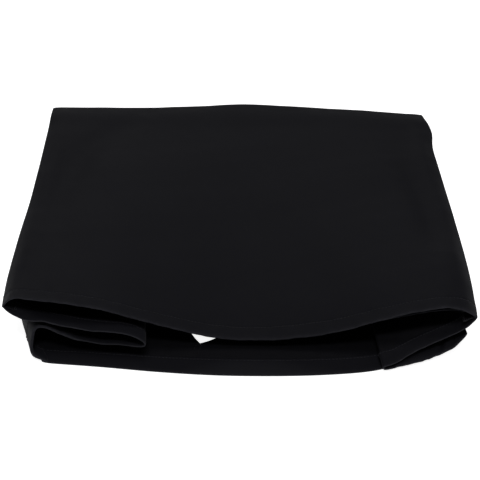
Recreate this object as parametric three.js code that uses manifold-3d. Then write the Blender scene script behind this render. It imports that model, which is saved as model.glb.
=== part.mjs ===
// A fitted cloth cover for a loudspeaker cabinet, folded flat with its open mouth towards -Y.
// Five panels: the front lies on top and the back on the ground, and both sides and the closed
// end are tucked in between them as V folds. Units are millimetres, +Z is up.
import * as THREE from "three";
import { mergeVertices } from "three/addons/utils/BufferGeometryUtils.js";
import Module from "manifold-3d";

// Cloth
const CLOTH = 1.6; // thickness of the coated cloth
const HEM = 2.6; // thickness where the cloth is turned back on itself
const HEM_WIDTH = 18;
const LENGTH = 424; // of the front panel, from its hem to the closed end
const WIDTH = 478; // of the front panel at the closed end
const SEAM_GAP = 0.4; // clear space between two panels along a seam
const MITRE_GAP = 3; // clear space where a side panel meets the end panel

// Mesh steps
const STEPS_PER_LINE = 3;
const LENGTH_STEPS = 12;
const FRONT_STEPS = 32;
const BACK_STEPS = 20;
const END_STEPS = 16;

// Stations along the cover, as shares of its length from the mouth to the closed end
const STATIONS = [0, 0.12, 0.5, 1];

// Fold lines of the side panels, in order from the front seam round the tucked fold to the back
// seam. Each runs from the mouth to the closed end, with a point [x, y, z] at each station. The
// back seam's height is that of the back panel's underside.
const LEFT_LINES = [
  { line: "front seam", points: [[-226, -190, 50], [-230, -142, 47], [-234, 22, 36], [-243.5, 235, 24]] },
  { line: "upper shoulder", points: [[-197, -195.5, 39], [-203, -147, 35], [-209, 18, 27], [-223, 215, 20]] },
  { line: "upper middle", points: [[-145, -203, 31], [-150, -154, 27], [-160, 12, 22], [-186, 178, 18]] },
  { line: "fold top", points: [[-109, -207, 29.7], [-109, -157, 24], [-113, 7, 18], [-157, 150, 17]] },
  { line: "inner fold", points: [[-91.5, -211.5, 21], [-94, -160, 18], [-103, 5, 14.5], [-150, 143, 14]] },
  { line: "fold under", points: [[-107, -208, 16.7], [-108, -157, 13.5], [-113, 7, 11.3], [-157, 148, 11]] },
  { line: "lower middle", points: [[-150, -203, 18.5], [-152, -153, 14.5], [-160, 12, 11], [-190, 171, 9]] },
  { line: "roll top", points: [[-192, -195, 30.5], [-211, -150, 23], [-221, 16, 15.5], [-228, 199, 9.5]] },
  { line: "roll side", points: [[-200.5, -202.5, 16.5], [-219, -155, 13], [-231, 12, 9.5], [-236, 206, 7]] },
  { line: "roll foot", points: [[-198, -209, 6.6], [-215, -160, 5.4], [-226, 10, 4.9], [-231, 202, 4.4]] },
  { line: "back seam", points: [[-184, -215.5, 0], [-207, -163, 0], [-217, 8, 0], [-225, 197, 0]] },
];
const RIGHT_LINES = [
  { line: "front seam", points: [[224, -200, 45], [227, -152, 48], [232.5, 18, 36], [234, 214, 25]] },
  { line: "upper shoulder", points: [[204.5, -200, 23.5], [206, -160, 34], [211, 12, 27], [214, 194, 20.5]] },
  { line: "upper middle", points: [[171, -210.5, 12.8], [172, -168, 22], [174, 5, 20], [178.5, 158.5, 18]] },
  { line: "fold top", points: [[149, -223.5, 8.4], [145, -175, 14.5], [146, -1, 16.5], [150, 130, 17]] },
  { line: "inner fold", points: [[137.5, -228.5, 6.6], [132.5, -178, 10.5], [135, -2, 13], [143, 123, 14]] },
  { line: "fold under", points: [[149, -225, 4.8], [145, -174, 7], [146, -1, 10], [150, 128, 11]] },
  { line: "lower middle", points: [[174, -217.5, 5.6], [172, -166, 9], [176, 5, 11], [182, 151, 9.5]] },
  { line: "roll top", points: [[201, -206.5, 9.5], [210, -156, 17], [219, 12, 15], [220, 178, 9.5]] },
  { line: "roll side", points: [[217.5, -194, 19], [220, -150, 12], [229, 10, 9.5], [228, 184, 7]] },
  { line: "roll foot", points: [[210, -191, 8], [214, -148, 5.6], [224, 8, 4.9], [223, 181, 4.4]] },
  { line: "back seam", points: [[197, -194, 0], [205, -150, 0], [215, 6, 0], [217, 176, 0]] },
];

// The same lines of the end panel, at the middle of its width
const END_LINES = [
  [2, 233, 30], [2, 208, 25], [2, 150, 19.5], [2, 108, 17.5], [2, 98, 14],
  [2, 108, 10.5], [2, 150, 9.5], [2, 188, 10], [2, 199, 7], [2, 196, 4.6], [2, 186.5, 0],
];

// Height of the front panel over the straight line between its seams: a row for each station,
// with a value at each of these shares of its width, from the left seam to the right one
const CROWN_PLACES = [0, 0.02, 0.06, 0.2, 0.33, 0.5, 0.68, 0.82, 0.94, 0.98, 1];
const CROWN = [
  [0, 9.3, 10.2, 0.3, -19.6, -35.6, -26, -2.6, 11.4, 7.2, 0],
  [0, 5, 6.5, -1, -17, -30, -21, -3, 7, 5, 0],
  [0, 2, 2.5, 1, -6, -12, -7, 0.5, 3, 2, 0],
  [0, 0.6, 0.8, 2.2, 3.6, 5.5, 4, 2.4, 1, 0.6, 0],
];

// How far two edges bow out between their corners, at shares of the width
const FRONT_FAR_BOW = {
  at: [0, 0.06, 0.28, 0.4, 0.55, 0.65, 0.85, 1],
  by: [0.4, 1.6, 2, 5, 10.8, 9, 6.4, 1.5],
};
const BACK_HEM_BOW = {
  at: [0, 0.14, 0.34, 0.53, 0.73, 0.83, 0.92, 1],
  by: [0, 8, 20, 29, 31, 26.6, 13, 0],
};

// The far right corner flares out before it is cut off
const CORNER_FLARE = { reach: 5.5, at: 0.88, spread: 0.075 };

const BACK_LAP = 5; // how far the back panel reaches past its seams

// Cable slit in the back panel, gaping to a pointed oval from its near end
const SLIT = { x: -39.5, y: -189, length: 90, width: 50, turn: THREE.MathUtils.degToRad(-17) };
const CUT_HEIGHT = 20;

// Smooth value of a table at t, whose rows stand at the given places
function through(places, rows, t) {
  const curve = new THREE.CubicInterpolant(places, Float64Array.from(rows.flat()), rows[0].length);
  return Array.from(curve.evaluate(t));
}

function valueAt(places, values, t) {
  return through(places, values.map((value) => [value]), t)[0];
}

function lineAt(row, v) {
  return new THREE.Vector3(...through(STATIONS, row.points, v));
}

// Point at share u of the smooth section that passes through the fold lines
function acrossLines(points, u) {
  const places = points.map((point, index) => index);
  const rows = points.map((point) => point.toArray());
  return new THREE.Vector3(...through(places, rows, u * (points.length - 1)));
}

// Front panel, on top: it sags between its two front seams and rises to a rim beside each.
function frontSurface(u, v) {
  const left = lineAt(LEFT_LINES[0], v);
  const right = lineAt(RIGHT_LINES[0], v);
  const { reach, at, spread } = CORNER_FLARE;
  right.x += reach * Math.exp(-(((v - at) / spread) ** 2));
  const point = left.lerp(right, u);
  point.z += valueAt(CROWN_PLACES, through(STATIONS, CROWN, v), u);
  point.y += valueAt(FRONT_FAR_BOW.at, FRONT_FAR_BOW.by, u) * v ** 3;
  return point;
}

// Back panel, the underside of the cloth: flat on the ground.
function backSurface(u, v) {
  const left = lineAt(LEFT_LINES.at(-1), v);
  const right = lineAt(RIGHT_LINES.at(-1), v);
  left.x -= BACK_LAP;
  right.x += BACK_LAP;
  const point = left.lerp(right, u);
  point.y += BACK_LAP * v - valueAt(BACK_HEM_BOW.at, BACK_HEM_BOW.by, u) * (1 - v) ** 4;
  return point;
}

// A tucked panel hangs a seam gap under the front panel and stands a seam gap over the back one.
function seatOnSeams(points, thickness) {
  points[0].z -= thickness + SEAM_GAP;
  points.at(-1).z += 1.5 * thickness + SEAM_GAP;
}

// Side panel: its front seam is the side of the front panel, at share edge of the width.
function sideSurface(lines, edge) {
  return (u, v) => {
    const points = lines.map((row) => lineAt(row, v));
    points[0] = frontSurface(edge, v);
    seatOnSeams(points, hemmedThickness(v));
    return acrossLines(points, u);
  };
}

// End panel: its fold lines join the far ends of the side panels' lines.
function endSurface(u, v) {
  const points = END_LINES.map((middle, index) => {
    const ends = [LEFT_LINES, RIGHT_LINES].map((lines) => lines[index].points.at(-1));
    return new THREE.Vector3(...through([0, 0.5, 1], [ends[0], middle, ends[1]], v));
  });
  points[0] = frontSurface(v, 1);
  seatOnSeams(points, CLOTH);
  return acrossLines(points, u);
}

function hemmedThickness(v) {
  return v * LENGTH < HEM_WIDTH + 0.1 ? HEM : CLOTH;
}

// Rows of a hemmed panel, with a close pair where the hem's thickness ends
function hemmedRows(end) {
  const hem = HEM_WIDTH / LENGTH;
  const start = hem + 2 / LENGTH;
  const beyond = evenRows(LENGTH_STEPS, start, end);
  return [0, hem / 2, hem, ...beyond];
}

function evenRows(count, start, end) {
  return Array.from({ length: count + 1 }, (none, i) => start + ((end - start) * i) / count);
}

function normalAt(surface, u, v) {
  const step = 1e-3;
  const across = surface(Math.min(u + step, 1), v).sub(surface(Math.max(u - step, 0), v));
  const along = surface(u, Math.min(v + step, 1)).sub(surface(u, Math.max(v - step, 0)));
  return across.cross(along).normalize();
}

// A sheet of cloth: a flat box carried to surface(u, v), whose two faces stand off the surface
// by the given shares of the thickness.
function sheet({ surface, thickness, columns, rows, below = -0.5, above = 0.5 }) {
  const box = new THREE.BoxGeometry(1, 1, 1, columns, rows.length - 1, 1);
  const position = box.getAttribute("position");
  for (let i = 0; i < position.count; i++) {
    const u = position.getX(i) + 0.5;
    const v = rows[Math.round((position.getY(i) + 0.5) * (rows.length - 1))];
    const share = position.getZ(i) > 0 ? above : below;
    const offset = normalAt(surface, u, v).multiplyScalar(share * thickness(v));
    position.setXYZ(i, ...surface(u, v).add(offset).toArray());
  }
  box.deleteAttribute("normal");
  box.deleteAttribute("uv");
  return mergeVertices(box);
}

// Pointed oval prism that cuts the cable slit, from two arcs over the slit's length
function slitCutter() {
  const half = SLIT.length / 2;
  const rise = SLIT.width / 2;
  const radius = (half ** 2 + rise ** 2) / (2 * rise);
  const angle = Math.asin(half / radius);
  const oval = new THREE.Shape();
  oval.absarc(rise - radius, half, radius, -angle, angle, false);
  oval.absarc(radius - rise, half, radius, Math.PI - angle, Math.PI + angle, false);
  const options = { depth: CUT_HEIGHT, bevelEnabled: false, curveSegments: 8 };
  const geometry = new THREE.ExtrudeGeometry(oval, options);
  geometry.rotateZ(SLIT.turn);
  geometry.translate(SLIT.x, SLIT.y, -CUT_HEIGHT / 2);
  geometry.deleteAttribute("normal");
  geometry.deleteAttribute("uv");
  return mergeVertices(geometry);
}

const wasm = await Module();
wasm.setup();

function toSolid(geometry) {
  return new wasm.Manifold(new wasm.Mesh({
    numProp: 3,
    vertProperties: Float32Array.from(geometry.getAttribute("position").array),
    triVerts: Uint32Array.from(geometry.getIndex().array),
  }));
}

function toGeometry(solid) {
  const { vertProperties, triVerts } = solid.getMesh();
  return new THREE.BufferGeometry()
    .setAttribute("position", new THREE.BufferAttribute(vertProperties, 3))
    .setIndex(new THREE.BufferAttribute(triVerts, 1));
}

const group = new THREE.Group();

function addPanel(name, geometry) {
  const material = new THREE.MeshStandardMaterial({ color: "#18181c", roughness: 0.75, metalness: 0 });
  const mesh = new THREE.Mesh(geometry, material);
  mesh.name = name;
  group.add(mesh);
}

function addSidePanel(name, lines, edge) {
  addPanel(name, sheet({
    surface: sideSurface(lines, edge),
    thickness: hemmedThickness,
    columns: STEPS_PER_LINE * (lines.length - 1),
    rows: hemmedRows(1 - MITRE_GAP / LENGTH),
  }));
}

addPanel("front_panel", sheet({
  surface: frontSurface,
  thickness: hemmedThickness,
  columns: FRONT_STEPS,
  rows: hemmedRows(1),
}));
addSidePanel("left_side_panel", LEFT_LINES, 0);
addSidePanel("right_side_panel", RIGHT_LINES, 1);

addPanel("end_panel", sheet({
  surface: endSurface,
  thickness: () => CLOTH,
  columns: STEPS_PER_LINE * (END_LINES.length - 1),
  rows: evenRows(END_STEPS, MITRE_GAP / WIDTH, 1 - MITRE_GAP / WIDTH),
}));

const wholeBack = sheet({
  surface: backSurface,
  thickness: hemmedThickness,
  columns: BACK_STEPS,
  rows: hemmedRows(1),
  below: 0,
  above: 1,
});
addPanel("back_panel", toGeometry(toSolid(wholeBack).subtract(toSolid(slitCutter()))));

// The origin is on the ground, under the middle of the folded cover.
const bounds = new THREE.Box3().setFromObject(group);
const middle = bounds.getCenter(new THREE.Vector3());
group.children.forEach((mesh) => mesh.geometry.translate(-middle.x, -middle.y, -bounds.min.z));

export default group;
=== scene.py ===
# Speaker cover: a fitted box of coated polyester for a loudspeaker cabinet. It lies folded flat,
# with its front panel on top, its sides and closed end tucked in, and its hemmed mouth open
# towards the camera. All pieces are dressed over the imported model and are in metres.
import math

import bpy
import numpy as np
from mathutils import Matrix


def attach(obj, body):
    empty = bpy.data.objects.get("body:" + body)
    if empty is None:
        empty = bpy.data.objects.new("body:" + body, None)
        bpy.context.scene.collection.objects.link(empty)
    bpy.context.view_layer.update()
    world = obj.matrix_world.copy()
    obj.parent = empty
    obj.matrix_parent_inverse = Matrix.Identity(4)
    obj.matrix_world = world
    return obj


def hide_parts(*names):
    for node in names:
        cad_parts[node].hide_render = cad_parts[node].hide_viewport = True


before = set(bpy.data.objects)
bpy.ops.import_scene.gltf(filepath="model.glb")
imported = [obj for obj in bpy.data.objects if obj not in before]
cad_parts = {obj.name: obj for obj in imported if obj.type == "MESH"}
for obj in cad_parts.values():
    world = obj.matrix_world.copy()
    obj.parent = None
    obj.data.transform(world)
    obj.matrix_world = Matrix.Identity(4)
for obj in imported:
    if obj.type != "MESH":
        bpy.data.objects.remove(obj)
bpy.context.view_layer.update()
scene = bpy.context.scene


# Camera: in front of the mouth, above it and looking 37 degrees down, as the photograph's does.
# A 75 mm lens from 1.1 m away keeps the near edge only a little wider than the far one.
CAMERA_PLACE = (0.00256, -0.91197, 0.67187)
CAMERA_DIP = 37  # degrees below the horizon

camera_data = bpy.data.cameras.new("camera")
camera_data.lens = 75
camera_data.sensor_width = 36
camera = bpy.data.objects.new("camera", camera_data)
camera.location = CAMERA_PLACE
camera.rotation_euler = (math.radians(90 - CAMERA_DIP), 0, 0)
scene.collection.objects.link(camera)
scene.camera = camera
scene.view_settings.view_transform = "Standard"


# Studio table: a wide white acrylic top, lit softly from below as product tables are, so that
# it stays white right up to the cloth.
def add_node(tree, kind, settings=None, inputs=None):
    """Adds a node with its settings. An input that is a socket is linked, any other is a value."""
    node = tree.nodes.new(kind)
    for name, value in (settings or {}).items():
        setattr(node, name, value)
    for key, value in (inputs or {}).items():
        if isinstance(value, bpy.types.NodeSocket):
            tree.links.new(value, node.inputs[key])
        else:
            node.inputs[key].default_value = value
    return node


def linear(colour):
    """Linear RGBA of an sRGB colour such as '#18181c'."""
    shares = [int(colour[i : i + 2], 16) / 255 for i in (1, 3, 5)]
    return [*(c / 12.92 if c <= 0.04045 else ((c + 0.055) / 1.055) ** 2.4 for c in shares), 1.0]


TABLE_SIZE = 12.0  # metres across
TABLE_GLOW = 0.9


def new_finish(name):
    """A material with its node tree and shader."""
    finish = bpy.data.materials.new(name)
    finish.use_nodes = True
    return finish, finish.node_tree, finish.node_tree.nodes["Principled BSDF"]


# Opal acrylic: satin, and lit through, so it shows as an even white with hardly a reflection.
acrylic, tree, shader = new_finish("white_acrylic")
shader.inputs["Base Color"].default_value = linear("#e6e6e6")
shader.inputs["Roughness"].default_value = 0.6
shader.inputs["Specular IOR Level"].default_value = 0.2
shader.inputs["Emission Color"].default_value = (1, 1, 1, 1)
shader.inputs["Emission Strength"].default_value = TABLE_GLOW

table_mesh = bpy.data.meshes.new("table_top")
half = TABLE_SIZE / 2
table_corners = [(-half, -half, 0), (half, -half, 0), (half, half, 0), (-half, half, 0)]
table_mesh.from_pydata(table_corners, [], [(0, 1, 2, 3)])
table_mesh.materials.append(acrylic)
table_top = bpy.data.objects.new("table_top", table_mesh)
scene.collection.objects.link(table_top)


# Studio light: a dim white room, a broad softbox above the cover, one behind it that draws a soft
# sheen on the far part of the cloth, one high in front and a narrow one on each side.
ROOM_LIGHT = 0.04
SOFTBOXES = {
    # name: (place, aimed at, width, height, watts)
    "softbox_top": ((0.0, 0.1, 2.0), (0, 0, 0), 1.2, 0.7, 7.5),
    "softbox_back": ((-0.3, 2.2, 1.3), (0, 0.1, 0), 1.8, 0.7, 12.5),
    "softbox_front": ((0.0, -0.9, 1.9), (0, -0.15, 0), 0.8, 0.35, 13),
    "softbox_left": ((-1.7, -0.1, 0.8), (-0.1, 0, 0), 0.5, 1.6, 2.4),
    "softbox_right": ((1.7, -0.2, 0.8), (0.1, 0, 0), 0.5, 1.6, 5),
}

world = bpy.data.worlds.new("white_room")
world.use_nodes = True
world.node_tree.nodes["Background"].inputs["Color"].default_value = (1, 1, 1, 1)
world.node_tree.nodes["Background"].inputs["Strength"].default_value = ROOM_LIGHT
scene.world = world

for light_name, (place, aim, width, height, watts) in SOFTBOXES.items():
    light_data = bpy.data.lights.new(light_name, "AREA")
    light_data.shape = "RECTANGLE"
    light_data.size, light_data.size_y = width, height
    light_data.energy = watts
    light = bpy.data.objects.new(light_name, light_data)
    light.location = place
    towards = np.subtract(aim, place)
    light.rotation_euler = (
        math.acos(-towards[2] / np.linalg.norm(towards)),
        0,
        math.atan2(towards[1], towards[0]) - math.pi / 2,
    )
    scene.collection.objects.link(light)


# Front panel: one cut of black polyester, woven outside and coated inside, with its mouth edge
# turned back twice and topstitched. It lies on top of the folded cover, sags in the middle and
# stands up in a soft rim beside each side seam.
MM = 0.001
BOX_MIDDLE = np.array([-2.572, 1.128, 0])  # where the tables have the folded cover's middle, mm
CLOTH = 0.7  # thickness of the coated cloth, mm
HEM_PLIES = 0.8  # what the turned plies of a hem add on the inside, mm
HEM_WIDTH = 18  # mm
STITCH_ROW = 16  # distance of the topstitching from the hem's edge, mm
HEM_RUB_AND_HIGHLIGHT = 1.5  # how far the rubbing and the painted edge highlight reach up a hem from its edge, mm
LENGTH = 424  # of the front panel, from its hem to the closed end, mm
WIDTH = 478  # of the front panel, mm
STATIONS = [0, 0.12, 0.5, 1]  # shares of the length, from the mouth to the closed end

# Points of the two front seams at each station, [x, y, z] in mm
LEFT_FRONT_SEAM = [[-226, -190, 50], [-230, -142, 47], [-234, 22, 36], [-243.5, 235, 24]]
RIGHT_FRONT_SEAM = [[224, -200, 45], [227, -152, 48], [232.5, 18, 36], [234, 214, 25]]

# The far right corner pokes out sideways by so many mm, round this share of the length
CORNER_FLARE = {"reach": 5.5, "at": 0.88, "spread": 0.075}

# Height over the line between the seams, at these shares of the width, for each station
CROWN_PLACES = [0, 0.02, 0.06, 0.2, 0.33, 0.5, 0.68, 0.82, 0.94, 0.98, 1]
CROWN = [
    [0, 9.3, 10.2, 0.3, -19.6, -35.6, -26, -2.6, 11.4, 7.2, 0],
    [0, 5, 6.5, -1, -17, -30, -21, -3, 7, 5, 0],
    [0, 2, 2.5, 1, -6, -12, -7, 0.5, 3, 2, 0],
    [0, 0.6, 0.8, 2.2, 3.6, 5.5, 4, 2.4, 1, 0.6, 0],
]

# How far the far edge bows out, mm, at shares of the width
FAR_BOW_PLACES = [0, 0.06, 0.28, 0.4, 0.55, 0.65, 0.85, 1]
FAR_BOW = [0.4, 1.6, 2, 5, 10.8, 9, 6.4, 1.5]

# Soft relief, all in mm: the rims beside the seams, the ridge before the far edge, and troughs
RIM = {"height": 2.4, "from_seam": 15, "spread": 11, "from_mouth": 30, "fade": 60}
FAR_RIDGE = {"height": 2.0, "from_edge": 26, "spread": 20}
FRONT_CREASES = [
    # path of (across, from the mouth), half width, height
    ([(120, 400), (62, 330), (36, 230), (30, 120)], 22, -5),
    ([(430, 300), (446, 220), (452, 150), (446, 90)], 16, -4.5),
]
EDGE_DROP = 0.8  # how far the cloth rounds down at its seams, mm
EDGE_SOFTNESS = 1.6  # and how far in from them, mm


def smooth_curve(places, values, at):
    """Values of the smooth curve through a table, at each of the given places."""
    places, values, at = (np.asarray(part, float) for part in (places, values, at))
    last = len(places) - 1
    end = np.clip(np.searchsorted(places, at, side="right"), 1, last)
    start = end - 1
    before = np.where(start > 0, start - 1, end)
    after = np.where(end < last, end + 1, start)
    span = places[end] - places[start]
    p = (at - places[start]) / span
    back = span / 2 / (places[start] - places[before])
    ahead = span / 2 / (places[after] - places[end])
    weights = [
        -back * p**3 + 2 * back * p**2 - back * p,
        (1 + back) * p**3 + (-1.5 - 2 * back) * p**2 + (-0.5 + back) * p + 1,
        (-1 - ahead) * p**3 + (1.5 + ahead) * p**2 + 0.5 * p,
        ahead * p**3 - ahead * p**2,
    ]
    shape = (-1,) + (1,) * (values.ndim - 1)
    knots = (before, start, end, after)
    return sum(weight.reshape(shape) * values[knot] for weight, knot in zip(weights, knots))


def seam_line(points, along):
    """Points of a seam or fold line at shares of the cover's length."""
    return smooth_curve(STATIONS, points, along)


def bell(distance, spread):
    """1 at no distance, falling softly to nearly 0 at twice the spread."""
    return np.exp(-((distance / spread) ** 2))


def rise(distance, over):
    """0 up to no distance, then rising evenly to 1 over the given one."""
    return np.clip(distance / over, 0, 1)


def front_points(across, along):
    """Middle of the front panel's cloth, as a grid of points, mm."""
    left = seam_line(LEFT_FRONT_SEAM, along)
    right = seam_line(RIGHT_FRONT_SEAM, along)
    flare = CORNER_FLARE
    right[:, 0] += flare["reach"] * bell(along - flare["at"], flare["spread"])
    share = across[:, None, None]
    grid = left * (1 - share) + right * share
    crown = smooth_curve(STATIONS, CROWN, along)
    grid[..., 2] += smooth_curve(CROWN_PLACES, crown.T, across)
    grid[..., 1] += smooth_curve(FAR_BOW_PLACES, FAR_BOW, across)[:, None] * along**3
    return grid


# Distances from a hem's edge and from a sewn edge at which the mesh has rows of its own, mm
HEM_ROWS = [0, 0.6, 1.6, 3, 5, 7.5, 10, 12.5, 14.3, 15.2, 16, 16.8, 17.6, 18, 18.3, 19.5, 21.5]
EDGE_ROWS = [0, 0.7, 1.6, 2.8, 4.4, 6.4]
MESH_STEP = 3  # between the other rows, mm
LEAST_STEP = 0.4  # a row closer than this share of a step to one of its own is left out


def spread_shares(size, step, close):
    """Shares of a side of that size, a step apart, with ones of their own at the close places."""
    even = np.linspace(0, 1, round(size / step) + 1)
    near = np.concatenate([np.array(part) / size for part in close])
    kept = even[np.min(np.abs(even[:, None] - near), axis=1) > LEAST_STEP * step / size]
    return np.unique(np.concatenate([kept, near, [0, 1]]).round(9))


def waves(s, t, seed, lengths, height):
    """Slight unevenness of cloth: flat waves of the given lengths in mm, in scattered directions."""
    rng = np.random.default_rng(seed)
    total = 0
    for length in lengths:
        angle, phase = rng.uniform(0, 2 * math.pi, 2)
        distance = s * math.cos(angle) + t * math.sin(angle)
        total = total + np.sin(2 * math.pi * distance / length + phase)
    return height * total / math.sqrt(len(lengths))


CREASE_POINTS = 25  # on the smooth line of a crease


def crease(s, t, path, width, height):
    """A soft ridge along a path of (s, t) points in mm, or a trough if height is negative."""
    line = smooth_curve(np.linspace(0, 1, len(path)), path, np.linspace(0, 1, CREASE_POINTS))
    nearest = np.full(np.shape(s), np.inf)
    share = np.zeros(np.shape(s))
    for k, (start, end) in enumerate(zip(line[:-1], line[1:])):
        run = end - start
        along = ((s - start[0]) * run[0] + (t - start[1]) * run[1]) / (run @ run)
        along = np.clip(along, 0, 1)
        away = np.hypot(s - start[0] - along * run[0], t - start[1] - along * run[1])
        closer = away < nearest
        nearest = np.where(closer, away, nearest)
        share = np.where(closer, (k + along) / (len(line) - 1), share)
    fade = np.sin(math.pi * np.clip(share, 0.02, 0.98)) ** 0.7  # towards both ends
    return height * bell(nearest, width) * fade


STITCH_GROOVE = 0.3  # how deep the row of stitches sinks into a hem, mm


def hem_puckers(s, t, seed):
    """Small ripples that the topstitching draws up in a hem, and its slightly wavy edge, mm."""
    along = 0 * t
    ripple = waves(s, along, seed, lengths=[9, 13, 19, 27], height=0.22) * bell(t - STITCH_ROW, spread=5)
    groove = -STITCH_GROOVE * bell(t - STITCH_ROW, spread=1.7)
    edge = waves(s, along, seed + 1, lengths=[16, 25, 38, 60], height=0.4) * bell(t, spread=9)
    nicks = waves(s, along, seed + 2, lengths=[6, 8, 11], height=0.18) * bell(t, spread=3)
    return ripple + groove + edge + nicks


def grid_faces(columns, rows):
    """Corner numbers of a grid's faces, anticlockwise where the first axis is x and the next y."""
    number = np.arange(columns * rows).reshape(columns, rows)
    corners = (number[:-1, :-1], number[1:, :-1], number[1:, 1:], number[:-1, 1:])
    return np.stack(corners, -1).reshape(-1, 4)


def point_normals(points, faces):
    """Unit normals at the points of a grid or a mesh of four-cornered faces."""
    a, b, c, d = (points.reshape(-1, 3)[faces[:, k]] for k in range(4))
    face_normals = np.cross(c - a, d - b)
    normals = np.zeros((points.size // 3, 3))
    for k in range(4):
        np.add.at(normals, faces[:, k], face_normals)
    return (normals / np.linalg.norm(normals, axis=1, keepdims=True)).reshape(points.shape)


def rim_edges(faces, count):
    """The edges that belong to one face only, each as its face runs round it."""
    starts = faces.ravel()
    ends = np.roll(faces, -1, axis=1).ravel()
    alone = ~np.isin(starts * count + ends, ends * count + starts)
    return starts[alone], ends[alone]


def rim_directions(points, normals, starts, ends):
    """Numbers of the points on a sheet's rim, and the way out of the sheet at each."""
    outward = np.zeros_like(points)
    for at in (starts, ends):
        np.add.at(outward, at, np.cross(points[ends] - points[starts], normals[starts]))
    rim = np.unique(starts)
    return rim, outward[rim] / np.linalg.norm(outward[rim], axis=1, keepdims=True)


EDGE_ANGLES = (30, 65, 115, 150)  # degrees round the cloth's edge at which the mesh has points
RUB_AND_HIGHLIGHT = {"rim": 0.5, "hem": 0.8, "inside": 0.5}  # paler edge colour, rubbed wear plus painted highlight: beside the edge, up a hem, and up its inside


def sheet_layers(points, normals, rim, outward, outer, inner):
    """Points of a closed sheet: its outer face, rings round its edge, and its inner face."""
    middle = (outer - inner)[rim, None] / 2
    radius = (outer + inner)[rim, None] / 2
    layers = [points + normals * outer[:, None]]
    for angle in EDGE_ANGLES:
        up, out = math.cos(math.radians(angle)), math.sin(math.radians(angle))
        layers.append(points[rim] + normals[rim] * (middle + radius * up) + outward * radius * out)
    return [*layers, points - normals * inner[:, None]]


def sheet_faces(faces, layers, rim, starts, ends):
    """Faces of a closed sheet: the outer side, the inner side turned round, and the edge."""
    count = len(layers[0])
    place_on_rim = np.zeros(count, int)
    place_on_rim[rim] = np.arange(len(rim))
    firsts = np.cumsum([0] + [len(layer) for layer in layers[:-1]])
    on_layer = [np.arange(count), *[place_on_rim] * len(EDGE_ANGLES), np.arange(count)]
    parts = [faces, faces[:, ::-1] + firsts[-1]]
    for k in range(len(layers) - 1):
        upper, lower = firsts[k] + on_layer[k], firsts[k + 1] + on_layer[k + 1]
        parts.append(np.stack([upper[ends], upper[starts], lower[starts], lower[ends]], -1))
    return np.concatenate(parts)


def edge_rub_and_highlight(flat, rim, hemmed):
    """How rubbed each point of a sheet is, and how much painted highlight its edge carries, from 0 to 1:
    the round of its edge gets most of both.
    """
    hem = np.exp(-flat[:, 1] / HEM_RUB_AND_HIGHLIGHT) * hemmed
    on_rim = np.isin(np.arange(len(flat)), rim)
    outer = np.maximum(RUB_AND_HIGHLIGHT["rim"] * on_rim, RUB_AND_HIGHLIGHT["hem"] * hem)
    return np.concatenate([outer, np.ones(len(EDGE_ANGLES) * len(rim)), RUB_AND_HIGHLIGHT["inside"] * hem])


def cloth_piece(name, points, faces, s, t, outer, inner, turned, finishes):
    """
    Makes a closed sheet of cloth with rounded edges. points, in mm, run through the cloth, and
    its two sides stand outer and inner mm off them. s and t are each point's place on the flat
    cloth in mm, and turned marks the faces where a hem shows the cloth's outside on the inside.
    """
    points = points.reshape(-1, 3)
    flat = np.stack([s.ravel(), t.ravel()], -1)
    outer, inner = (np.broadcast_to(np.ravel(part), len(points)) for part in (outer, inner))
    normals = point_normals(points, faces)
    starts, ends = rim_edges(faces, len(points))
    rim, outward = rim_directions(points, normals, starts, ends)
    layers = sheet_layers(points, normals, rim, outward, outer, inner)
    all_faces = sheet_faces(faces, layers, rim, starts, ends)

    mesh = bpy.data.meshes.new(name)
    mesh.from_pydata((np.concatenate(layers) - BOX_MIDDLE) * MM, [], all_faces.tolist())
    for finish in finishes:
        mesh.materials.append(finish)
    slots = np.zeros(len(all_faces), np.int32)
    slots[len(faces) : 2 * len(faces)] = np.where(turned, 0, 1)
    mesh.polygons.foreach_set("material_index", slots)
    mesh.polygons.foreach_set("use_smooth", np.ones(len(all_faces), bool))

    flats = np.concatenate([flat, *[flat[rim]] * len(EDGE_ANGLES), flat]) * MM
    flat_map = mesh.uv_layers.new(name="flat_cloth")
    flat_map.uv.foreach_set("vector", flats[all_faces.ravel()].astype(np.float32).ravel())
    # Paler rubbed colour along the sheet's edges; the rings round the edge get it in full, as a painted
    # highlight on the rounded edge.
    rub_and_highlight = mesh.attributes.new("edge_rub_and_highlight", "FLOAT", "POINT")
    rub_and_highlight.data.foreach_set("value", edge_rub_and_highlight(flat, rim, np.any(turned)).astype(np.float32))
    mesh.validate()
    piece = bpy.data.objects.new(name, mesh)
    scene.collection.objects.link(piece)
    return piece


# The outside is a plain weave of matt black polyester yarn. It gives a soft, even black with a faint
# bluish cast, a fine grain, and a slightly paler line on folded edges: rubbed wear, and a painted
# highlight.
THREAD_PITCH = 0.9  # mm; the real yarns lie 0.35 mm apart, too fine to show at this distance
DYE_PATCH = 71.43  # across the soft patches of the dye, mm
YARN_FLECK = 1.4286  # across the flecks of the yarn, mm
RUBBED_AND_HIGHLIT_PATCH = 7.692  # across the patches of the rubbed, painted-highlight edge line, mm
DYE = ("#0c0c0f", "#111115")  # the darkest and the palest of its patches
PALE_YARN = "#15151a"
# Paler colour of the folded edges: rubbed yarn, and a painted highlight on their rounded folds.
RUBBED_AND_HIGHLIT_YARN = "#2b2b30"


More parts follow.
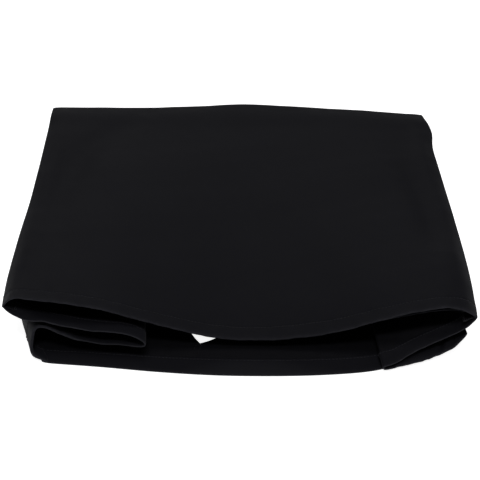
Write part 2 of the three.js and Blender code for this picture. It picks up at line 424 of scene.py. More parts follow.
def woven_height(tree, flat_place):
    """Height of a plain weave, from -1 to 1, over the flat cloth."""
    parts = add_node(tree, "ShaderNodeSeparateXYZ", inputs={0: flat_place})
    turns = 2 * math.pi / (2 * THREAD_PITCH * MM)
    rounds = []
    for axis in ("X", "Y"):
        scaled = {0: parts.outputs[axis], 1: turns}
        phase = add_node(tree, "ShaderNodeMath", {"operation": "MULTIPLY"}, scaled)
        rounds.append(add_node(tree, "ShaderNodeMath", {"operation": "SINE"}, {0: phase.outputs[0]}))
    factors = {0: rounds[0].outputs[0], 1: rounds[1].outputs[0]}
    return add_node(tree, "ShaderNodeMath", {"operation": "MULTIPLY"}, factors).outputs[0]


def mottled(tree, place, patch, detail, colours):
    """A colour that wanders between two, in soft patches so many mm across, and its pattern."""
    inputs = {"Vector": place, "Scale": 1 / (patch * MM), "Detail": detail}
    pattern = add_node(tree, "ShaderNodeTexNoise", inputs=inputs).outputs[0]
    first, second = (linear(part) if isinstance(part, str) else part for part in colours)
    inputs = {0: pattern, 6: first, 7: second}
    return add_node(tree, "ShaderNodeMix", {"data_type": "RGBA"}, inputs).outputs[2], pattern


def rubbed_and_highlit_share(tree, flat_place):
    """How far the cloth is rubbed and carries the painted edge highlight, from 0 to 1: patchy, and only
    along its edges.
    """
    inputs = {"Vector": flat_place, "Scale": 1 / (RUBBED_AND_HIGHLIT_PATCH * MM), "Detail": 2}
    patches = add_node(tree, "ShaderNodeTexNoise", inputs=inputs)
    edge = add_node(tree, "ShaderNodeAttribute", {"attribute_name": "edge_rub_and_highlight"})
    factors = {0: edge.outputs["Fac"], 1: patches.outputs[0]}
    return add_node(tree, "ShaderNodeMath", {"operation": "MULTIPLY"}, factors).outputs[0]


woven_polyester, tree, shader = new_finish("woven_polyester")
flat_place = add_node(tree, "ShaderNodeUVMap", {"uv_map": "flat_cloth"}).outputs[0]
dyed = mottled(tree, flat_place, DYE_PATCH, detail=3, colours=DYE)[0]
grained, flecks = mottled(tree, flat_place, YARN_FLECK, detail=2, colours=(dyed, PALE_YARN))
# The edges take the paler rubbed colour, which also serves as their painted highlight.
inputs = {0: rubbed_and_highlit_share(tree, flat_place), 6: grained, 7: linear(RUBBED_AND_HIGHLIT_YARN)}
worn_and_highlit = add_node(tree, "ShaderNodeMix", {"data_type": "RGBA"}, inputs)
tree.links.new(worn_and_highlit.outputs[2], shader.inputs["Base Color"])
inputs = {0: woven_height(tree, flat_place), 1: flecks}
height = add_node(tree, "ShaderNodeMath", {"operation": "ADD"}, inputs).outputs[0]
inputs = {"Strength": 0.5, "Distance": 0.06 * MM, "Height": height}
bump = add_node(tree, "ShaderNodeBump", inputs=inputs)
tree.links.new(bump.outputs[0], shader.inputs["Normal"])
shader.inputs["Roughness"].default_value = 0.72
shader.inputs["Specular IOR Level"].default_value = 0.07
shader.inputs["Sheen Weight"].default_value = 0.02
shader.inputs["Sheen Roughness"].default_value = 0.4

# The inside carries a thin polyurethane coating that keeps dust and damp out. It is smoother and
# a little glossier than the weave, which still shows through it faintly.
CRINKLE = 11.11  # across the crinkles of the coating, mm
COATING = ("#0a0a0d", "#111115")
WEAVE_THROUGH_COATING = 0.25

coated_back, tree, shader = new_finish("polyurethane_coating")
flat_place = add_node(tree, "ShaderNodeUVMap", {"uv_map": "flat_cloth"}).outputs[0]
coat, crinkles = mottled(tree, flat_place, CRINKLE, detail=4, colours=COATING)
tree.links.new(coat, shader.inputs["Base Color"])
inputs = {0: woven_height(tree, flat_place), 1: WEAVE_THROUGH_COATING, 2: crinkles}
height = add_node(tree, "ShaderNodeMath", {"operation": "MULTIPLY_ADD"}, inputs).outputs[0]
inputs = {"Strength": 0.4, "Distance": 0.3 * MM, "Height": height}
bump = add_node(tree, "ShaderNodeBump", inputs=inputs)
tree.links.new(bump.outputs[0], shader.inputs["Normal"])
shader.inputs["Roughness"].default_value = 0.55
shader.inputs["Specular IOR Level"].default_value = 0.1

cloth_finishes = [woven_polyester, coated_back]


def faces_at(along, columns):
    """Distance from the mouth, in mm, at the middle of each face of a panel's grid."""
    middles = (along[:-1] + along[1:]) / 2 * LENGTH
    return np.tile(middles, columns - 1)


PLIES_END = 18.3  # where the turned plies of a hem have run out to nothing, mm from its edge
PLIES_STEP = 0.3  # over which they do, mm


def hem_steps(t):
    """How far the inner face stands off the middle of the cloth, mm, at distance t from the mouth."""
    return CLOTH / 2 + HEM_PLIES * rise(PLIES_END - t, over=PLIES_STEP)


def front_relief(s, t):
    """Rims, troughs and slight unevenness of the front panel, and its rounded edges, mm."""
    rims = bell(s - RIM["from_seam"], RIM["spread"]) + bell(WIDTH - RIM["from_seam"] - s, RIM["spread"])
    rims = rims * rise(t - RIM["from_mouth"], RIM["fade"]) * rise(LENGTH - t, RIM["fade"])
    ridge = bell(LENGTH - FAR_RIDGE["from_edge"] - t, FAR_RIDGE["spread"])
    folds = RIM["height"] * rims + FAR_RIDGE["height"] * ridge
    folds = folds + sum(crease(s, t, path, width, height) for path, width, height in FRONT_CREASES)
    unevenness = waves(s, t, seed=3, lengths=[70, 95, 130, 170], height=0.45)
    unevenness = unevenness + waves(s, t, seed=7, lengths=[22, 31, 44], height=0.07)
    edges = sum(np.exp(-distance / EDGE_SOFTNESS) for distance in (s, WIDTH - s, LENGTH - t))
    return folds + unevenness + hem_puckers(s, t, seed=5) - EDGE_DROP * edges


front_across = spread_shares(WIDTH, MESH_STEP, [EDGE_ROWS, [WIDTH - row for row in EDGE_ROWS]])
front_along = spread_shares(LENGTH, MESH_STEP, [HEM_ROWS, [LENGTH - row for row in EDGE_ROWS]])
s, t = np.meshgrid(front_across * WIDTH, front_along * LENGTH, indexing="ij")
front_grid = front_points(front_across, front_along)
front_grid[..., 2] += front_relief(s, t)
front_faces = grid_faces(*s.shape)
front_panel = cloth_piece(
    "front_cloth",
    front_grid,
    front_faces,
    s,
    t,
    outer=CLOTH / 2,
    inner=hem_steps(t),
    turned=faces_at(front_along, len(front_across)) < HEM_WIDTH,
    finishes=cloth_finishes,
)
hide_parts("front_panel")
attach(front_panel, "root")


# Turned ply of the front hem: towards the right seam it hangs a little away from the panel, so
# that a second edge shows below the first. It is the panel's own cloth, woven side out.
PLY_HANG = 2.6  # how far it hangs off the hem at most, mm
PLY_ENDS = (0.79, 0.992)  # shares of the width between which it hangs off
PLY_COLUMNS = 70
PLY_ROWS = [0.8, 1.6, 3, 5, 8, 11, 13.5, 15.5]  # distances from the hem's edge, mm
PLY_FOLD = 17  # distance from the hem's edge at which it meets the hem again, mm
PLY_THICKNESS = 0.5  # mm
PLY_GAP = 0.3  # that parts it from the hem even where it lies close, mm


def ply_hang(s, t):
    """How far the ply hangs off the hem, mm: most at its free edge, a little right of its middle."""
    along_hem = np.linspace(0, 1, PLY_COLUMNS)[:, None]
    sag = PLY_HANG * np.sin(math.pi * along_hem**1.4) ** 0.7
    return (sag + waves(s, t, seed=51, lengths=[12, 19, 31], height=0.25)) * (1 - t / PLY_FOLD)


ply_across = np.linspace(*PLY_ENDS, PLY_COLUMNS)
ply_along = np.array(PLY_ROWS) / LENGTH
s, t = np.meshgrid(ply_across * WIDTH, ply_along * LENGTH, indexing="ij")
ply_grid = front_points(ply_across, ply_along)
ply_faces = grid_faces(*s.shape)
ply_normals = point_normals(ply_grid, ply_faces)
ply_grid -= ply_normals * (CLOTH / 2 + HEM_PLIES + PLY_GAP + ply_hang(s, t))[..., None]
turned_ply = cloth_piece(
    "front_hem_ply",
    ply_grid,
    ply_faces,
    s,
    t,
    outer=PLY_THICKNESS / 2,
    inner=PLY_THICKNESS / 2,
    turned=True,
    finishes=cloth_finishes,
)
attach(turned_ply, "root")


# Topstitching of the front hem: lockstitches of black polyester thread, 3.4 mm apart, one row on
# the outside and one on the inside of the hem. Each stitch is a short oval that sinks into it.
STITCH_PITCH = 3.4  # mm
STITCH_LENGTH = 2.7  # mm
STITCH_SWAY = 0.06  # how far a stitch may turn from its row by chance, radians
THREAD_WIDTH = 0.5  # mm
THREAD_RISE = 0.1  # of the middle of a stitch over the cloth, mm
THREAD_FIBRE = 0.4  # across the fibres that show in the thread, mm
THREAD = ("#141418", "#2c2c31")

# The thread is smoother than the weave, which makes it a little paler and glossier.
polyester_thread, tree, shader = new_finish("polyester_thread")
thread_place = add_node(tree, "ShaderNodeTexCoord").outputs["Object"]
spun = mottled(tree, thread_place, THREAD_FIBRE, detail=1, colours=THREAD)[0]
tree.links.new(spun, shader.inputs["Base Color"])
shader.inputs["Roughness"].default_value = 0.5
shader.inputs["Specular IOR Level"].default_value = 0.25


STITCH_INPUTS = {
    "Lines": "Geometry",
    "Pitch": "Float",
    "Stitch length": "Float",
    "Thread width": "Float",
    "Turn": "Float",
    "Unevenness": "Float",
    "Seed": "Int",
    "Thread": "Material",
}


def stitch_facing(tree, given):
    """How each stitch is turned: along its line, then by its angle and a little by chance."""
    tangent = add_node(tree, "GeometryNodeInputTangent")
    axes = {"Primary Axis": tangent.outputs[0], "Secondary Axis": (0, 0, 1)}
    settings = {"primary_axis": "X", "secondary_axis": "Z"}
    along = add_node(tree, "FunctionNodeAxesToRotation", settings, axes)
    factors = {0: given["Unevenness"], 1: -1.0}
    least = add_node(tree, "ShaderNodeMath", {"operation": "MULTIPLY"}, factors)
    limits = {2: least.outputs[0], 3: given["Unevenness"], "Seed": given["Seed"]}
    sway = add_node(tree, "FunctionNodeRandomValue", {"data_type": "FLOAT"}, limits).outputs[1]
    angle = add_node(tree, "ShaderNodeMath", {"operation": "ADD"}, {0: given["Turn"], 1: sway})
    turn = add_node(tree, "ShaderNodeCombineXYZ", inputs={2: angle.outputs[0]})
    turned = add_node(tree, "FunctionNodeEulerToRotation", inputs={0: turn.outputs[0]})
    turns = {"Rotation": along.outputs[0], "Rotate By": turned.outputs[0]}
    facing = add_node(tree, "FunctionNodeRotateRotation", {"rotation_space": "LOCAL"}, turns)
    return facing.outputs[0]


def stitch_nodes():
    """Geometry Nodes group that lays stitches along lines: ovals of thread, a pitch apart."""
    tree = bpy.data.node_groups.new("stitch_row", "GeometryNodeTree")
    for name, kind in STITCH_INPUTS.items():
        tree.interface.new_socket(name, in_out="INPUT", socket_type=f"NodeSocket{kind}")
    tree.interface.new_socket("Stitches", in_out="OUTPUT", socket_type="NodeSocketGeometry")
    given = tree.nodes.new("NodeGroupInput").outputs

    line = add_node(tree, "GeometryNodeMeshToCurve", inputs={"Mesh": given["Lines"]})
    spacing = {"Curve": line.outputs[0], "Length": given["Pitch"]}
    spaced = add_node(tree, "GeometryNodeResampleCurve", {"mode": "LENGTH"}, spacing)
    ball = {"Segments": 6, "Rings": 5, "Radius": 0.5}
    oval = add_node(tree, "GeometryNodeMeshUVSphere", inputs=ball)
    sizes = {0: given["Stitch length"], 1: given["Thread width"], 2: given["Thread width"]}
    size = add_node(tree, "ShaderNodeCombineXYZ", inputs=sizes)
    places = {"Points": spaced.outputs[0], "Instance": oval.outputs[0]}
    places |= {"Rotation": stitch_facing(tree, given), "Scale": size.outputs[0]}
    laid = add_node(tree, "GeometryNodeInstanceOnPoints", inputs=places)
    real = add_node(tree, "GeometryNodeRealizeInstances", inputs={0: laid.outputs[0]})
    smooth = add_node(tree, "GeometryNodeSetShadeSmooth", inputs={"Geometry": real.outputs[0]})
    finish = {"Geometry": smooth.outputs[0], "Material": given["Thread"]}
    threaded = add_node(tree, "GeometryNodeSetMaterial", inputs=finish)
    add_node(tree, "NodeGroupOutput", inputs={0: threaded.outputs[0]})
    return tree


stitch_row = stitch_nodes()


def add_stitches(name, lines, pitch=STITCH_PITCH, length=STITCH_LENGTH, turn=0, seed=1):
    """Lays stitches along lines of points, in mm, each turned by that many degrees from its line."""
    line_ends = np.cumsum([len(line) for line in lines])
    edges = [(k - 1, k) for k in range(1, line_ends[-1]) if k not in line_ends]
    mesh = bpy.data.meshes.new(name)
    mesh.from_pydata((np.concatenate(lines) - BOX_MIDDLE) * MM, edges, [])
    piece = bpy.data.objects.new(name, mesh)
    scene.collection.objects.link(piece)
    modifier = piece.modifiers.new("stitch_row", "NODES")
    modifier.node_group = stitch_row
    values = {
        "Pitch": pitch * MM,
        "Stitch length": length * MM,
        "Thread width": THREAD_WIDTH * MM,
        "Turn": math.radians(turn),
        "Unevenness": STITCH_SWAY,
        "Seed": seed,
        "Thread": polyester_thread,
    }
    for socket in stitch_row.interface.items_tree:
        if socket.name in values:
            modifier[socket.identifier] = values[socket.name]
    bpy.context.view_layer.update()
    seen = piece.evaluated_get(bpy.context.evaluated_depsgraph_get())
    stitched = bpy.data.meshes.new_from_object(seen)
    piece.modifiers.remove(modifier)
    piece.data = stitched
    return piece


def nearest_row(values, wanted):
    """Number of the value that lies nearest to the wanted one."""
    return int(np.argmin(np.abs(values - wanted)))


def hem_thread_lines(grid, faces, along):
    """Lines of a hem's topstitching, on the outside and on the inside of the cloth."""
    normals = point_normals(grid, faces)
    row = nearest_row(along * LENGTH, STITCH_ROW)
    outside = grid[:, row] + normals[:, row] * (CLOTH / 2 + THREAD_RISE)
    inside = grid[:, row] - normals[:, row] * (CLOTH / 2 + HEM_PLIES + THREAD_RISE)
    return outside[1:-1], inside[1:-1]


front_lines = hem_thread_lines(front_grid, front_faces, front_along)
front_stitches = add_stitches("front_hem_stitches", front_lines, seed=1)
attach(front_stitches, "root")


# Seam allowances: inside each front seam the raw edges of the two panels lie together, coated
# side out, and are overlocked with close stitches across their free edge and their mouth end.
ALLOWANCE_WIDTH = 12  # mm
ALLOWANCE_THICKNESS = 1.1  # of the two plies together, mm
ALLOWANCE_COLUMNS = np.linspace(0.1, 1, 8)  # shares of its width
ALLOWANCE_ROWS = np.array([1.6, 2.4, 4, 7, *np.linspace(11, LENGTH - 8, 90)])  # mm from the mouth
ALLOWANCE_DROOP = {"far": 0.12, "near": 0.1, "mouth": 0.3, "reach": 40}  # slopes, reach in mm
OVERLOCK_PITCH = 1.7  # mm
OVERLOCK_LENGTH = 3.4  # mm
OVERLOCK_TURN = 84  # of each stitch from the row, degrees
OVERLOCK_RISE = 0.05  # of the middle of a stitch over the strip, mm


def allowance_points(seam, inward, seed):
    """Middle of the strip inside one seam, as a grid of points, mm. It droops by the mouth."""
    along = ALLOWANCE_ROWS / LENGTH
    points = np.repeat(seam_line(seam, along)[None], len(ALLOWANCE_COLUMNS), axis=0)
    reach = ALLOWANCE_COLUMNS[:, None] * ALLOWANCE_WIDTH
    by_mouth = bell(ALLOWANCE_ROWS, ALLOWANCE_DROOP["reach"])
    slope = ALLOWANCE_DROOP["far"] + ALLOWANCE_DROOP["near"] * (1 - along) ** 2
    slope = slope + ALLOWANCE_DROOP["mouth"] * by_mouth
    crumple = waves(reach, ALLOWANCE_ROWS[None], seed, lengths=[9, 13, 21], height=0.5) * by_mouth
    points[..., 0] += inward * reach
    points[..., 2] += crumple * ALLOWANCE_COLUMNS[:, None] - CLOTH / 2 - reach * slope
    return points


def add_seam_allowance(side, seam, inward, seed):
    """Adds the strip inside one front seam, and its overlock stitches."""
    points = allowance_points(seam, inward, seed)
    faces = grid_faces(*points.shape[:2])[:, ::inward]
    s, t = np.meshgrid(ALLOWANCE_COLUMNS * ALLOWANCE_WIDTH, ALLOWANCE_ROWS, indexing="ij")
    strip = cloth_piece(
        f"{side}_seam_allowance",
        points,
        faces,
        s,
        t,
        outer=ALLOWANCE_THICKNESS / 2,
        inner=ALLOWANCE_THICKNESS / 2,
        turned=False,
        finishes=[coated_back, coated_back],
    )
    lift = point_normals(points, faces) * (ALLOWANCE_THICKNESS / 2 + OVERLOCK_RISE)
    lines = [(points + lift)[-2], (points - lift)[-2], (points + lift)[:, 1]]
    stitches = add_stitches(
        f"{side}_overlock", lines, OVERLOCK_PITCH, OVERLOCK_LENGTH, OVERLOCK_TURN, seed
    )
    for piece in (strip, stitches):
        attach(piece, "root")
    return [strip, stitches]


allowances = add_seam_allowance("left", LEFT_FRONT_SEAM, 1, 61)
allowances += add_seam_allowance("right", RIGHT_FRONT_SEAM, -1, 62)


# Back panel: the same cut of cloth, flat on the table with its coated side up and its hem turned
# up along the mouth. A slit for the cables is cut into it, and gapes to a pointed oval.
LEFT_BACK_SEAM = [[-184, -215.5, 0], [-207, -163, 0], [-217, 8, 0], [-225, 197, 0]]
RIGHT_BACK_SEAM = [[197, -194, 0], [205, -150, 0], [215, 6, 0], [217, 176, 0]]
HEM_BOW_PLACES = [0, 0.14, 0.34, 0.53, 0.73, 0.83, 0.92, 1]
HEM_BOW = [0, 8, 20, 29, 31, 26.6, 13, 0]  # how far the hem bows out towards the camera, mm
BACK_LAP = 5  # how far the cloth reaches past its seams, mm
BACK_REST = 0.3  # mean height of its underside over the table, mm
BACK_WAVES = {"height": 0.12, "from_mouth": 20, "fade": 60}  # how it lies off the table, mm
LEFT_CORNER = {"back": 1.5, "spread": 5, "reach": 12}  # how the near left corner is rounded, mm

SLIT_NEAR, SLIT_FAR = np.array([-39.5, -189]), np.array([-13.2, -102.9])  # its ends, [x, y] in mm
SLIT_COLUMN_X = -30  # of the column of the mesh that is laid on the slit, mm
SLIT_COLUMN_SHARE = 0.1  # of the length, at which that x is taken
SLIT_WIDTH = 50  # where it gapes widest, mm
SLIT_LAP = 8  # length that still lies closed beyond the near end, mm
SLIT_LEAN = {"spread": 90, "ahead": 0.12}  # how far round the slit the mesh leans with it
SLIT_PULL = 34  # how far from the slit its pull on the cloth has faded, mm
SLIT_RISE = 0.05  # how much the cloth rises for each mm that it is pulled
SLIT_LIFT = 0.7  # of the left lip over the right one, mm


def back_points(across, along):
    """Underside of the back panel, as a grid of points, mm."""
    left = seam_line(LEFT_BACK_SEAM, along)
    right = seam_line(RIGHT_BACK_SEAM, along)
    left[:, 0] -= BACK_LAP
    right[:, 0] += BACK_LAP
    share = across[:, None, None]
    grid = left * (1 - share) + right * share
    bow = smooth_curve(HEM_BOW_PLACES, HEM_BOW, across)
    grid[..., 1] += BACK_LAP * along - bow[:, None] * (1 - along) ** 4
    grid[..., 2] = BACK_REST
    return grid


slit_run = SLIT_FAR - SLIT_NEAR
slit_length = np.linalg.norm(slit_run)
slit_across = np.array([slit_run[1], -slit_run[0]]) / slit_length


def slit_half_width(along):
    """Half the slit's opening at a distance from its near end, mm: the arc of a pointed oval."""
    half, bulge = slit_length / 2, SLIT_WIDTH / 2
    radius = (half**2 + bulge**2) / (2 * bulge)
    arc = np.sqrt(np.maximum(radius**2 - (along - half) ** 2, 0))
    return np.maximum(arc - (radius - bulge), 0)


def opened(grid, column):
    """The grid with one column laid along the slit and pulled aside, and half its opening, mm."""
    grid = grid.copy()
    line_x, line_y = grid[column, :, 0].copy(), grid[column, :, 1].copy()
    from_slit = grid[..., 0] - line_x
    share = (line_y - SLIT_NEAR[1]) / slit_run[1]
    lean = SLIT_NEAR[0] + slit_run[0] * np.clip(share, -SLIT_LEAN["ahead"], 1) - line_x
    grid[..., 0] += lean * bell(from_slit, SLIT_LEAN["spread"])
    opening = slit_half_width(share * slit_length) * ((share > 0) & (share < 1))
    pull = opening * np.exp(-np.abs(from_slit) / SLIT_PULL)
    side = np.where(np.arange(len(grid)) < column, -1, 1)[:, None]
    grid[..., :2] += (side * pull)[..., None] * slit_across
    grid[..., 2] += SLIT_RISE * pull
    return grid, opening


# The slit's ends and its closed lap get rows of their own in the mesh
flat_back = back_points(front_across, front_along)
near_mouth = back_points(front_across, np.array([SLIT_COLUMN_SHARE]))
slit_column = nearest_row(near_mouth[:, 0, 0], SLIT_COLUMN_X)
slit_rows = [SLIT_NEAR[1] - SLIT_LAP, SLIT_NEAR[1], SLIT_FAR[1]]
slit_at = np.interp(slit_rows, flat_back[slit_column, :, 1], front_along)
back_along = np.unique(np.concatenate([front_along, slit_at]))
s, t = np.meshgrid(front_across * WIDTH, back_along * LENGTH, indexing="ij")

back_grid, opening = opened(back_points(front_across, back_along), slit_column)
unevenness = waves(s, t, seed=11, lengths=[60, 85, 120], height=BACK_WAVES["height"])
unevenness = unevenness * rise(t - BACK_WAVES["from_mouth"], BACK_WAVES["fade"])
back_grid[..., 2] += unevenness
rounding = np.exp(-s / LEFT_CORNER["spread"]) * np.exp(-t / LEFT_CORNER["reach"])
back_grid[..., 1] += LEFT_CORNER["back"] * rounding

# The faces left of the cut get points of their own along it, which are the left lip
cut_rows = np.arange(nearest_row(back_along, slit_at[0]) + 1, nearest_row(back_along, slit_at[-1]))
left_lip = back_grid[slit_column, cut_rows].copy()
left_lip[:, :2] -= 2 * opening[cut_rows, None] * slit_across
left_lip[:, 2] += SLIT_LIFT
first_on_slit = slit_column * len(back_along)
own_point = np.arange(s.size)
own_point[first_on_slit + cut_rows] = s.size + np.arange(len(cut_rows))
back_faces = grid_faces(*s.shape)
left_of_slit = back_faces.min(axis=1) < first_on_slit
back_faces[left_of_slit] = own_point[back_faces[left_of_slit]]
back_s = np.concatenate([s.ravel(), s[slit_column, cut_rows]])
back_t = np.concatenate([t.ravel(), t[slit_column, cut_rows]])
back_panel = cloth_piece(
    "back_cloth",
    np.concatenate([back_grid.reshape(-1, 3), left_lip]),
    back_faces[:, ::-1],
    back_s,
    back_t,
    outer=0,
    inner=hem_steps(back_t) + CLOTH / 2,
    turned=faces_at(back_along, len(front_across)) < HEM_WIDTH,
    finishes=cloth_finishes,
)
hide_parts("back_panel")

hem_row = nearest_row(back_along * LENGTH, STITCH_ROW)
back_lines = [back_grid[1:-1, hem_row] + (0, 0, CLOTH + HEM_PLIES + THREAD_RISE)]
for column in (slit_column - 1, slit_column + 1):
    back_lines.append(back_grid[column, cut_rows] + (0, 0, CLOTH + THREAD_RISE))
back_stitches = add_stitches("back_stitches", back_lines, seed=2)
for piece in (back_panel, back_stitches):
    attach(piece, "root")


# Left side panel: sewn to the front and back panels and tucked in between them as one V fold.
# Its lower edge bulges in a soft roll over the back seam.

# Points of its fold lines at each station, from the front seam to the back one, [x, y, z] in mm
LEFT_FOLDS = [
    [[-197, -195.5, 39], [-203, -147, 35], [-209, 18, 27], [-223, 215, 20]],
    [[-145, -203, 31], [-150, -154, 27], [-160, 12, 22], [-186, 178, 18]],
    [[-109, -207, 29.7], [-109, -157, 24], [-113, 7, 18], [-157, 150, 17]],
    [[-91.5, -211.5, 21], [-94, -160, 18], [-103, 5, 14.5], [-150, 143, 14]],
    [[-107, -208, 16.7], [-108, -157, 13.5], [-113, 7, 11.3], [-157, 148, 11]],
    [[-150, -203, 18.5], [-152, -153, 14.5], [-160, 12, 11], [-190, 171, 9]],
    [[-192, -195, 30.5], [-211, -150, 23], [-221, 16, 15.5], [-228, 199, 9.5]],
    [[-200.5, -202.5, 16.5], [-219, -155, 13], [-231, 12, 9.5], [-236, 206, 7]],
    [[-198, -209, 6.6], [-215, -160, 5.4], [-226, 10, 4.9], [-231, 202, 4.4]],
]

LINES_ACROSS = 12  # columns of the mesh between two fold lines
NOSE, LOWER_LAYER, ROLL_TOP, ROLL_SIDE, FOOT = 4, 6, 7, 8, 9  # lines, counted from the front seam
SIDE_STEP = 4  # between the rows of the mesh past the hem, mm
SIDE_WAVES = {"lengths": [45, 60, 90], "height": 0.3}  # unevenness of both sides, mm
PUFF_AT = {"from_edge": 1.5, "spread": 4}  # where the hem of a roll is puffed up, mm
LEFT_PUFF = {"height": 1.7, "in_over": 14, "out_over": 8}  # and how on this side, mm
LEFT_NOSE = {"height": 0.9, "spread": 8}  # how much fuller the fold's nose is, mm
CORNER_CURL = {"depth": 5.5, "width": 36, "skew": 0.6, "reach": 6}  # by the front seam, mm


def tucked_grid(rows, thickness):
    """
    Middle of a tucked panel's cloth, as a grid of points on smooth curves through its lines, mm.
    Its first line hangs under the front panel, and its last lies on that thickness of the back.
    """
    rows = np.array(rows)
    rows[0, :, 2] -= CLOTH
    rows[-1, :, 2] += thickness
    places = np.linspace(0, 1, LINES_ACROSS * (len(rows) - 1) + 1) * (len(rows) - 1)
    return smooth_curve(np.arange(len(rows)), rows, places)


def distance_across(grid):
    """How far each column of a grid lies from its first one along the cloth, in mm."""
    middle = grid[:, grid.shape[1] // 2]
    steps = np.linalg.norm(np.diff(middle, axis=0), axis=1)
    return np.concatenate([[0], np.cumsum(steps)])


def side_panel_grid(front_seam, folds, back_seam):
    """A side panel's grid, the cloth's s and t at its points, and the s of each of its lines, mm."""
    lines = [seam_line(line, side_along) for line in (*folds, back_seam)]
    grid = tucked_grid([front_seam, *lines], hem_steps(side_along * LENGTH) + CLOTH)
    across = distance_across(grid)
    s, t = np.meshgrid(across, side_along * LENGTH, indexing="ij")
    return grid, s, t, across[::LINES_ACROSS]


def pushed(grid, s, t, middle, spread, reach, shift):
    """The grid with its cloth pushed by shift, mm, in a soft patch by the mouth round s = middle."""
    share = bell(s - middle, spread) * bell(t, reach)
    return grid + share[..., None] * np.array(shift)


def add_side_panel(name, node, grid, flipped, relief, swell, seed):
    """Adds a side panel over its CAD node. flipped turns its outside to the other face."""
    s, t = np.meshgrid(distance_across(grid), side_along * LENGTH, indexing="ij")
    faces = grid_faces(*s.shape)
    normals = point_normals(grid, faces)
    grid = grid + normals * relief(s, t)[..., None]
    faces = faces[:, ::-1] if flipped else faces
    panel = cloth_piece(
        name,
        grid,
        faces,
        s,
        t,
        outer=CLOTH / 2,
        inner=hem_steps(t) + swell(s, t),
        turned=faces_at(side_along, len(grid)) < HEM_WIDTH,
        finishes=cloth_finishes,
    )
    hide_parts(node)
    lines = hem_thread_lines(grid, faces, side_along)
    stitches = add_stitches(f"{name}_stitches", lines, seed=seed)
    for piece in (panel, stitches):
        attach(piece, "root")


def left_relief(s, t):
    """Ripples of the left side panel, mm."""
    nose = LEFT_NOSE["height"] * bell(s - left_at[NOSE], LEFT_NOSE["spread"])
    return waves(s, t, seed=21, **SIDE_WAVES) + hem_puckers(s, t, seed=23) + nose


def left_swell(s, t):
    """Where the hem of the roll is puffed up between its edge and its stitches, mm."""
    roll = rise(s - left_at[LOWER_LAYER], LEFT_PUFF["in_over"])
    roll = roll * rise(left_at[-1] - s, LEFT_PUFF["out_over"])
    return LEFT_PUFF["height"] * roll * bell(t - PUFF_AT["from_edge"], PUFF_AT["spread"])


side_along = spread_shares(LENGTH, SIDE_STEP, [HEM_ROWS])
left_front_seam = front_points(np.array([0.0]), side_along)[0]
left_grid, s, t, left_at = side_panel_grid(left_front_seam, LEFT_FOLDS, LEFT_BACK_SEAM)

# By the front seam the hem curls down, and shows its turned ply below a soft crest. Where the
# roll turns in at its foot, it reaches a little further outwards and towards the mouth.
curl = np.sin(math.pi * rise(s, CORNER_CURL["width"]) ** CORNER_CURL["skew"])
left_grid[..., 2] -= CORNER_CURL["depth"] * curl * bell(t, CORNER_CURL["reach"])
left_grid = pushed(left_grid, s, t, left_at[FOOT], spread=7, reach=18, shift=(-0.5, -1.8, 0))
add_side_panel("left_side_cloth", "left_side_panel", left_grid, True, left_relief, left_swell, 3)


# Right side panel: the same cut as the left one, tucked lower, so that the upper layer of its
# fold shows its coated side through the mouth.

# Points of its fold lines at each station, from the front seam to the back one, [x, y, z] in mm
RIGHT_FOLDS = [
    [[204.5, -200, 23.5], [206, -160, 34], [211, 12, 27], [214, 194, 20.5]],
    [[171, -210.5, 12.8], [172, -168, 22], [174, 5, 20], [178.5, 158.5, 18]],
    [[149, -223.5, 8.4], [145, -175, 14.5], [146, -1, 16.5], [150, 130, 17]],
    [[137.5, -228.5, 6.6], [132.5, -178, 10.5], [135, -2, 13], [143, 123, 14]],
    [[149, -225, 4.8], [145, -174, 7], [146, -1, 10], [150, 128, 11]],
    [[174, -217.5, 5.6], [172, -166, 9], [176, 5, 11], [182, 151, 9.5]],
    [[201, -206.5, 9.5], [210, -156, 17], [219, 12, 15], [220, 178, 9.5]],
    [[217.5, -194, 19], [220, -150, 12], [229, 10, 9.5], [228, 184, 7]],
    [[210, -191, 8], [214, -148, 5.6], [224, 8, 4.9], [223, 181, 4.4]],
]
ROLL_CREASES = [
    # path of (from the top of the roll, from the mouth), half width, height, mm
    ([(-16, 1), (-10, 14), (-13, 40)], 3.5, -2.2),
    ([(-7, 0), (-4, 18), (-6, 45)], 4, 1.6),
]
RIGHT_NOSE = {"height": -1.6, "spread": 7}  # how much thinner the fold's nose is, mm
RIGHT_PUFF = {"height": 0.9, "spread": 14}  # how the hem of this side's roll is puffed up, mm
ROUNDING = {"columns": 0.8 * LINES_ACROSS, "reach": 60}  # how far the roll is rounded, reach in mm


def right_relief(s, t):
    """Ripples of the right side panel, with the creases of its lower layer by the mouth, mm."""
    from_roll = s - right_at[ROLL_TOP]
    creases = sum(crease(from_roll, t, path, width, height) for path, width, height in ROLL_CREASES)
    nose = RIGHT_NOSE["height"] * bell(s - right_at[NOSE], RIGHT_NOSE["spread"])
    return waves(s, t, seed=31, **SIDE_WAVES) + hem_puckers(s, t, seed=33) + creases + nose


def right_swell(s, t):
    """How far the hem is puffed up where it turns round the roll, mm."""
    roll = bell(s - right_at[ROLL_TOP], RIGHT_PUFF["spread"])
    return RIGHT_PUFF["height"] * roll * bell(t - PUFF_AT["from_edge"], PUFF_AT["spread"])


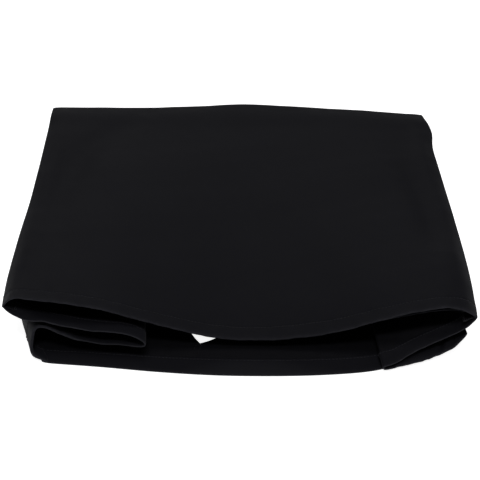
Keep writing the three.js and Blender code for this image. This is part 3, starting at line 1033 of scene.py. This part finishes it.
def rounded_roll(grid, line, t):
    """The grid with its bend at that fold line made rounder, most of all by the mouth."""
    spread = LINES_ACROSS * 3 // 4  # columns to each side that the bend is averaged over
    weights = np.hanning(2 * spread + 3)[1:-1]
    padded = np.concatenate([grid[:1]] * spread + [grid] + [grid[-1:]] * spread)
    smooth = sum(w * padded[k : k + len(grid)] for k, w in enumerate(weights)) / weights.sum()
    column = np.arange(len(grid)) - line * LINES_ACROSS
    share = np.exp(-((column / ROUNDING["columns"]) ** 4))[:, None] * bell(t, ROUNDING["reach"])
    return grid + (smooth - grid) * share[..., None]


right_front_seam = front_points(np.array([1.0]), side_along)[0]
right_grid, s, t, right_at = side_panel_grid(right_front_seam, RIGHT_FOLDS, RIGHT_BACK_SEAM)

# By the mouth the roll stands rounder, further out and higher than its fold lines, and beside the
# front seam the hem bellies outwards a little.
right_grid = rounded_roll(right_grid, ROLL_SIDE, t)
right_grid = pushed(right_grid, s, t, right_at[ROLL_SIDE] - 5, spread=11, reach=30, shift=(3, 0, 3.5))
right_grid = pushed(right_grid, s, t, middle=11, spread=9, reach=20, shift=(3, 0, 0))
add_side_panel("right_side_cloth", "right_side_panel", right_grid, False, right_relief, right_swell, 4)


# End panel: closes the far end of the box, and is tucked in between the front and back panels
# like the sides. It has no hem.

# Points across its middle, from the front panel to the back one, [x, y, z] in mm
END_MIDDLE = [
    [2, 233, 30], [2, 208, 25], [2, 150, 19.5], [2, 108, 17.5], [2, 98, 14],
    [2, 108, 10.5], [2, 150, 9.5], [2, 188, 10], [2, 199, 7], [2, 196, 4.6], [2, 186.5, 0],
]
END_ROWS = [0, 2, 4, 7]  # distances from the side seams at which the mesh has rows of its own, mm
END_STEP = 5  # between its other rows, mm

end_along = spread_shares(WIDTH, END_STEP, [END_ROWS, [WIDTH - row for row in END_ROWS]])
left_ends = [LEFT_FRONT_SEAM[-1], *(fold[-1] for fold in LEFT_FOLDS), LEFT_BACK_SEAM[-1]]
right_ends = [RIGHT_FRONT_SEAM[-1], *(fold[-1] for fold in RIGHT_FOLDS), RIGHT_BACK_SEAM[-1]]
end_rows = [
    smooth_curve([0, 0.5, 1], [left, middle, right], end_along)
    for left, middle, right in zip(left_ends, END_MIDDLE, right_ends)
]
end_rows[0] = front_points(end_along, np.array([1.0]))[:, 0]
end_grid = tucked_grid(end_rows, 1.5 * CLOTH)
s, t = np.meshgrid(distance_across(end_grid), end_along * WIDTH, indexing="ij")
away_from_seams = np.sin(math.pi * np.linspace(0, 1, len(end_grid)))[:, None]
end_grid[..., 2] += waves(s, t, seed=41, lengths=[50, 75, 110], height=0.25) * away_from_seams
end_panel = cloth_piece(
    "end_cloth",
    end_grid,
    grid_faces(*s.shape)[:, ::-1],
    s,
    t,
    outer=CLOTH / 2,
    inner=CLOTH / 2,
    turned=False,
    finishes=cloth_finishes,
)
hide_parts("end_panel")
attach(end_panel, "root")
